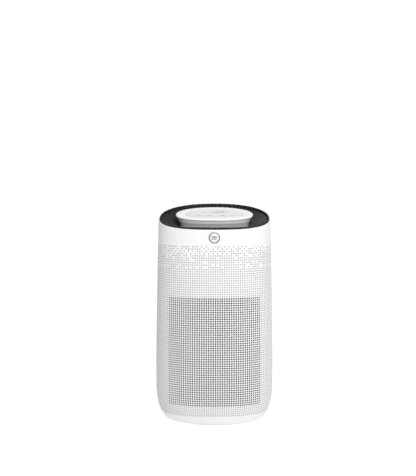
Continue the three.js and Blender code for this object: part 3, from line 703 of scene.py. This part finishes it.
def base_skin():
    """The base under the seam: a low plinth, a tucked-in side and an upstand inside the casing."""
    def plinth(z, inset=0.0):
        return lambda angle: Vector((*oval(PLINTH_A - inset, PLINTH_B - inset, angle), z))

    def ring(z, inset=0.0, shape_z=None):
        def point(angle):
            x, y, _ = body_point(angle, shape_z or z, inset)
            return Vector((x, y, z))
        return point
    upstand, inner = WALL + GAP, WALL + GAP + BASE_WALL
    outlines = [plinth(0.0004, 0.0008), plinth(0.0008), plinth(FOOT_HEIGHT)]
    outlines += [ring(FOOT_HEIGHT, 0.0008), ring(FOOT_HEIGHT + 0.0004, 0.0003)]
    outlines += [ring(z) for z in (0.0045, 0.006, 0.009, 0.0125, 0.017, 0.022, SEAM_Z - 0.0008)]
    outlines += [ring(SEAM_Z, 0.0006), ring(SEAM_Z, 0.0022), ring(SEAM_Z, upstand)]
    outlines += [ring(SEAM_Z + UPSTAND, upstand, SEAM_Z), ring(SEAM_Z + UPSTAND, inner, SEAM_Z)]
    outlines += [ring(0.015, inner), ring(BASE_FLOOR, inner), ring(BASE_FLOOR, 0.0132)]
    skin = made("base_skin", loft(outlines), "casing", (WHITE,), ("base_tray",))
    carve(skin, base_cutters())
    return skin


base_skin()


# ---------- outlet ----------
def lip_ring(inset, drop):
    """A ring that follows the slanted rim, inside the casing."""
    return lambda angle: rim_point(angle, WALL + GAP + inset, drop)


def outlet_lip():
    """The black lip round the outlet, with a rounded top and a skirt inside the casing."""
    bm = loft([lip_ring(*place) for place in LIP_SHAPE], segments=192, closed=True)
    return made("outlet_lip", bm, "casing", (BLACK,), ("outlet_bezel",))


def collar_ring(outset, z):
    """A level ring a little outside the foot of the control pillar."""
    return lambda angle: Vector((*oval(PILLAR_A + outset, PILLAR_B + outset, angle, PILLAR_POWER), z))


def fin(bm, angle):
    """One radial fin with a rounded top edge, from the outer band down to the collar."""
    outer = lip_ring(0.0032, BAND_DROP + 0.0002)(angle)
    inner = collar_ring(0.0016, DISH_Z - 0.0006)(angle)
    run = (outer - inner).xy.normalized()
    across = Vector((-run.y, run.x, 0))
    verts = bmesh.ops.create_cube(bm, size=1)["verts"]
    edges = {e for v in verts for e in v.link_edges}
    for vert in verts:
        far = vert.co.x > 0
        end = outer if far else inner
        half = FIN_OUTER_HALF if far else FIN_INNER_HALF
        side = 1 if vert.co.y > 0 else -1
        down = 0 if vert.co.z > 0 else FIN_TALL
        vert.co = end + across * half * side - Vector((0, 0, down))
    along_top = []
    for edge in edges:
        first, last = (v.co for v in edge.verts)
        if min(first.z, last.z) > inner.z - 0.004 and abs((first - last).xy.normalized().dot(run)) > 0.9:
            along_top.append(edge)
    bmesh.ops.bevel(
        bm, geom=along_top, offset=0.0005, affect="EDGES", segments=2, profile=0.5, material=-1
    )


def outlet_ring():
    """The fins, the black band round them, blacker than the fins as painted shade between them, and the
    collar round the pillar's foot.
    """
    bm = bmesh.new()
    for i in range(FINS):
        fin(bm, 2 * math.pi * (i + 0.5) / FINS)
    fins = set(bm.faces)
    band = [(0.0024, BAND_DEPTH), (0.0024, BAND_DROP), (0.0046, BAND_DROP), (0.0046, BAND_DEPTH)]
    loft([lip_ring(*place) for place in band], segments=192, closed=True, bm=bm)
    # painted shade: the band seen between the fins takes the blacker finish
    for face in bm.faces:
        if face not in fins:
            face.material_index = 1
    foot, edge = MOAT_Z - BAND_DEPTH, DISH_Z - 0.0004
    collar = [(GAP, foot), (GAP, edge), (GAP + 0.0004, DISH_Z), (0.0018, DISH_Z), (0.0022, edge)]
    collar += [(0.0022, foot)]
    loft([collar_ring(*place) for place in collar], segments=96, closed=True, bm=bm)
    finishes = (CHARCOAL, BLACK)
    return made("outlet_fin_ring", bm, "casing", finishes, ("outlet_fins",))


outlet_lip()
outlet_ring()


# ---------- control pillar ----------
def panel_height(x, y, offset=0.0):
    """The height of the panel's slanted face."""
    return rim_height(x, y) + PANEL_RISE + offset


def panel_ring(a, b, offset):
    """An oval on the panel's slanted face, or an offset over it."""
    def point(angle):
        x, y = oval(a, b, angle, PILLAR_POWER)
        return Vector((x, y, panel_height(x, y, offset)))
    return point


def control_pillar():
    """The flared wall under the panel, lighter white above and grey at its foot: painted light and
    shade.
    """
    def ring(share, inset):
        def point(angle):
            flare = share**FLARE_POWER
            a = PILLAR_A + (PILLAR_TOP_A - PILLAR_A) * flare - inset
            b = PILLAR_B + (PILLAR_TOP_B - PILLAR_B) * flare - inset
            x, y = oval(a, b, angle, PILLAR_POWER)
            low = MOAT_Z + GAP
            high = panel_height(x, y, -PANEL_THICK - GAP)
            return Vector((x, y, low + (high - low) * share))
        return point
    shares = [i / FLARE_STEPS for i in range(FLARE_STEPS + 1)]
    outlines = [ring(s, 0) for s in shares] + [ring(s, PILLAR_WALL) for s in reversed(shares)]
    bm = loft(outlines, closed=True)
    # painted shade: faces low on the wall take the darker grey finish
    for face in bm.faces:
        middle = face.calc_center_median()
        top = panel_height(middle.x, middle.y, -PANEL_THICK)
        if (middle.z - MOAT_Z) / (top - MOAT_Z) < PILLAR_SHADED_SHARE:
            face.material_index = 1
    finishes = (PILLAR_LIT_WHITE, PILLAR_SHADE_GREY)
    return made("control_pillar_skin", bm, "casing", finishes, ("control_pillar",))


def control_panel():
    """The slanted panel: a rounded edge and a shallow seat for the touch face."""
    low = -PANEL_THICK
    edge = [(0.0026, low), (0.0010, low + 0.0006), (0.0002, low + 0.0018), (0.0, low + 0.003)]
    edge += [(0.0004, -0.0016), (0.0012, -0.0006), (0.0026, 0.0), (0.0060, 0.0002)]
    outlines = [panel_ring(PANEL_A - inset, PANEL_B - inset, offset) for inset, offset in edge]
    seat = [(0.0018, 0.0), (0.0010, -0.0004), (0.0004, -0.0014)]
    outlines += [panel_ring(TOUCH_A + wider, TOUCH_B + wider, offset) for wider, offset in seat]
    bm = loft(outlines, segments=160)
    return made("control_panel_skin", bm, "casing", (WHITE,), ("control_panel",))


def touch_face():
    edge = [(0.0, -0.0012), (0.0, -0.0005), (0.0004, -0.0001), (0.0012, 0.0)]
    bm = loft([panel_ring(TOUCH_A - i, TOUCH_B - i, offset) for i, offset in edge], segments=160)
    return made("touch_face", bm, "casing", (TOUCH,), ("touch_overlay",))


def face_outline():
    """A thin engraved line round the keys and the display."""
    a, b, wide = 0.0712, 0.0258, 0.0007
    shape = [(wide, -0.00005), (wide, 0.0001), (0.0, 0.0001), (0.0, -0.00005)]
    bm = loft([panel_ring(a - i, b - i, offset) for i, offset in shape], segments=160, closed=True)
    return made("face_outline", bm, "casing", (PALE_PRINT,))


def printed(bm, x0, x1, y0, y1):
    """A rounded bar printed on the touch face."""
    middle = ((x0 + x1) / 2, (y0 + y1) / 2, 0)
    place = Matrix.Translation(middle) @ Matrix.Diagonal((x1 - x0, y1 - y0, PRINT_THICK, 1))
    verts = bmesh.ops.create_cube(bm, size=1, matrix=place)["verts"]
    upright = []
    for edge in {e for v in verts for e in v.link_edges}:
        first, last = (v.co for v in edge.verts)
        if abs(first.z - last.z) > PRINT_THICK / 2:
            upright.append(edge)
    rounding = min(x1 - x0, y1 - y0) * 0.45
    grown = bmesh.ops.bevel(
        bm, geom=upright, offset=rounding, affect="EDGES", segments=3, profile=0.5, material=-1
    )
    for vert in set(verts) | set(grown["verts"]):
        if vert.is_valid:
            vert.co.z = panel_height(vert.co.x, vert.co.y, PRINT_LIFT + vert.co.z)


def key_marks():
    """Four generic key marks in a front row and small signs beside the display."""
    bm = bmesh.new()
    for x in KEY_X:
        printed(bm, x - 0.0065, x - 0.0030, -0.0175, -0.0140)
        printed(bm, x - 0.0015, x + 0.0065, -0.0166, -0.0150)
    for x, half in SIGN_SPOTS:
        printed(bm, x - half, x + half, SIGN_Y - half, SIGN_Y + half)
    return made("key_marks", bm, "casing", (PRINT,))


def display_glass():
    """The display's window, level with the touch face."""
    low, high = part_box("display_window")
    bm = bmesh.new()
    x, y, _ = middle_of("display_window")
    size = (high.x - low.x, high.y - low.y, 0.003, 1)
    place = Matrix.Translation((x, y, 0)) @ Matrix.Diagonal(size)
    for vert in bmesh.ops.create_cube(bm, size=1, matrix=place)["verts"]:
        vert.co.z = panel_height(vert.co.x, vert.co.y, vert.co.z - 0.0016)
    return made("display_glass", bm, "casing", (TOUCH,), ("display_window",))


def display_numerals():
    """Four numerals made of bars, on the display."""
    wide, tall, thick = 0.0056, 0.0096, 0.0012
    bars = {
        "a": (0, wide, tall - thick, tall),
        "b": (wide - thick, wide, tall / 2, tall),
        "c": (wide - thick, wide, 0, tall / 2),
        "d": (0, wide, 0, thick),
        "e": (0, thick, 0, tall / 2),
        "f": (0, thick, tall / 2, tall),
        "g": (0, wide, (tall - thick) / 2, (tall + thick) / 2),
    }
    bm = bmesh.new()
    middle = middle_of("display_window")
    for i, numeral in enumerate(SHOWN):
        left = middle.x - 0.0178 + i * 0.0088
        low = middle.y - tall / 2
        for letter in NUMERAL_BARS[numeral]:
            x0, x1, y0, y1 = bars[letter]
            printed(bm, left + x0, left + x1, low + y0, low + y1)
    return made("display_numerals", bm, "casing", (PRINT,))


control_pillar()
control_panel()
touch_face()
key_marks()
face_outline()
display_glass()
display_numerals()


# ---------- badge ----------
def badge():
    """A silver rim round a white face, with a sign of three bars."""
    low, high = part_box("badge_ring")
    x, _, z = middle_of("badge_ring")
    back = high.y + 0.0002
    radius = (high.x - low.x) / 2
    inner = radius - 0.0028
    rim = [(radius, 0), (radius, 0.0010), (radius - 0.0004, 0.0014), (radius - 0.0014, 0.0016)]
    rim += [(radius - 0.0025, 0.0013), (inner, 0.0008), (inner, 0)]
    bm = loft([facing_ring(x, back - out, z, r) for r, out in rim], segments=96, closed=True)
    made("badge_rim", bm, "cover", (SILVER,), ("badge_ring",))
    edge = inner - 0.0002
    face = [(edge, 0), (edge, 0.0006), (edge - 0.0004, 0.0009), (edge * 0.5, 0.0011)]
    bm = loft([facing_ring(x, back - out, z, r) for r, out in face], segments=96)
    made("badge_face", bm, "cover", (WHITE,), ("badge_disc",))
    bm = bmesh.new()
    for row, (left, right) in enumerate(SIGN_BARS):
        level = z + SIGN_PITCH * (1 - row)
        corner = (left, back - 0.0015, level - 0.0009)
        block(bm, corner, (right, back - 0.0006, level + 0.0009), 0.0004)
    made("badge_sign", bm, "cover", (DARK_PRINT,))


badge()


# ---------- filter ----------
def pre_filter_frame():
    """The frame of the pre-filter with its ribs."""
    (x0, y0, z0), (x1, y1, z1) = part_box("pre_filter")
    edge = PRE_FILTER_EDGE
    bm = bmesh.new()
    for low, high in (
        ((x0, y0, z0), (x0 + edge, y1, z1)),
        ((x1 - edge, y0, z0), (x1, y1, z1)),
        ((x0 + edge, y0, z0), (x1 - edge, y1, z0 + edge)),
        ((x0 + edge, y0, z1 - edge), (x1 - edge, y1, z1)),
    ):
        block(bm, low, high, 0.0006)
    rib, front, back = 0.0009, y0 + 0.0008, y1 - 0.0006
    for i in range(1, 8):
        x = x0 + (x1 - x0) * i / 8
        block(bm, (x - rib, front, z0 + edge), (x + rib, back, z1 - edge), 0.0003)
    for i in range(1, 10):
        z = z0 + (z1 - z0) * i / 10
        block(bm, (x0 + edge, front, z - rib), (x1 - edge, back, z + rib), 0.0003)
    return made("pre_filter_frame", bm, "filter", (CHARCOAL,), ("pre_filter",))


def pre_filter_net():
    """The fine dark net in the pre-filter's frame."""
    (x0, y0, z0), (x1, _, z1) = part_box("pre_filter")
    edge = PRE_FILTER_EDGE
    bm = bmesh.new()
    block(bm, (x0 + edge, y0 + 0.0014, z0 + edge), (x1 - edge, y0 + 0.0018, z1 - edge))
    return made("pre_filter_net", bm, "filter", (NET,))


pre_filter_frame()
pre_filter_net()


# ---------- floor, light and camera ----------
def pale_floor():
    bm = bmesh.new()
    bmesh.ops.create_grid(bm, x_segments=1, y_segments=1, size=6)
    mesh = bpy.data.meshes.new("floor")
    bm.to_mesh(mesh)
    bm.free()
    floor = bpy.data.objects.new("floor", mesh)
    bpy.context.scene.collection.objects.link(floor)
    material, _, shader = finish("pale floor", (0.25, 0.25, 0.25), 0.95)
    shader.inputs["Emission Color"].default_value = (1, 1, 1, 1)
    shader.inputs["Emission Strength"].default_value = 0.94
    mesh.materials.append(material)


def studio():
    """A white backdrop behind the object, and dimmer sides, so that the flanks shade off."""
    world = bpy.data.worlds.new("studio")
    world.use_nodes = True
    tree = world.node_tree
    background = tree.nodes["Background"]
    where = tree.nodes.new("ShaderNodeTexCoord")
    axes = tree.nodes.new("ShaderNodeSeparateXYZ")
    tree.links.new(where.outputs["Generated"], axes.inputs["Vector"])
    total = ranged(tree, axes.outputs["X"], *SKY_SIDES)
    for sky in (SKY_BEHIND, SKY_FRONT):
        add = tree.nodes.new("ShaderNodeMath")
        add.operation = "ADD"
        tree.links.new(total, add.inputs[0])
        tree.links.new(ranged(tree, axes.outputs["Y"], *sky), add.inputs[1])
        total = add.outputs[0]
    tree.links.new(total, background.inputs["Strength"])
    background.inputs["Color"].default_value = (1, 1, 1, 1)
    bpy.context.scene.world = world


def area_light(name, place, target, size, power):
    lamp = bpy.data.lights.new(name, "AREA")
    lamp.shape = "RECTANGLE"
    lamp.size, lamp.size_y = size
    lamp.energy = power
    light = bpy.data.objects.new(name, lamp)
    light.location = place
    light.rotation_euler = (Vector(target) - Vector(place)).to_track_quat("-Z", "Y").to_euler()
    bpy.context.scene.collection.objects.link(light)


def front_camera():
    """The camera in front of the object, a little above its top and looking down."""
    data = bpy.data.cameras.new("camera")
    data.lens = 50
    data.sensor_width = 36
    data.shift_x = CAMERA_SHIFT
    data.clip_end = 50
    camera = bpy.data.objects.new("camera", data)
    camera.location = CAMERA_PLACE
    camera.rotation_euler = (math.pi / 2 - CAMERA_PITCH, 0, 0)
    bpy.context.scene.collection.objects.link(camera)
    bpy.context.scene.camera = camera


pale_floor()
studio()
area_light("key", (0.5, -2.0, 1.9), (0, 0, 0.3), (0.9, 0.9), 46)
area_light("top", (0.0, -0.3, 2.2), (0, 0, 0.5), (1.2, 0.8), 10)
front_camera()
bpy.context.scene.view_settings.view_transform = "Standard"
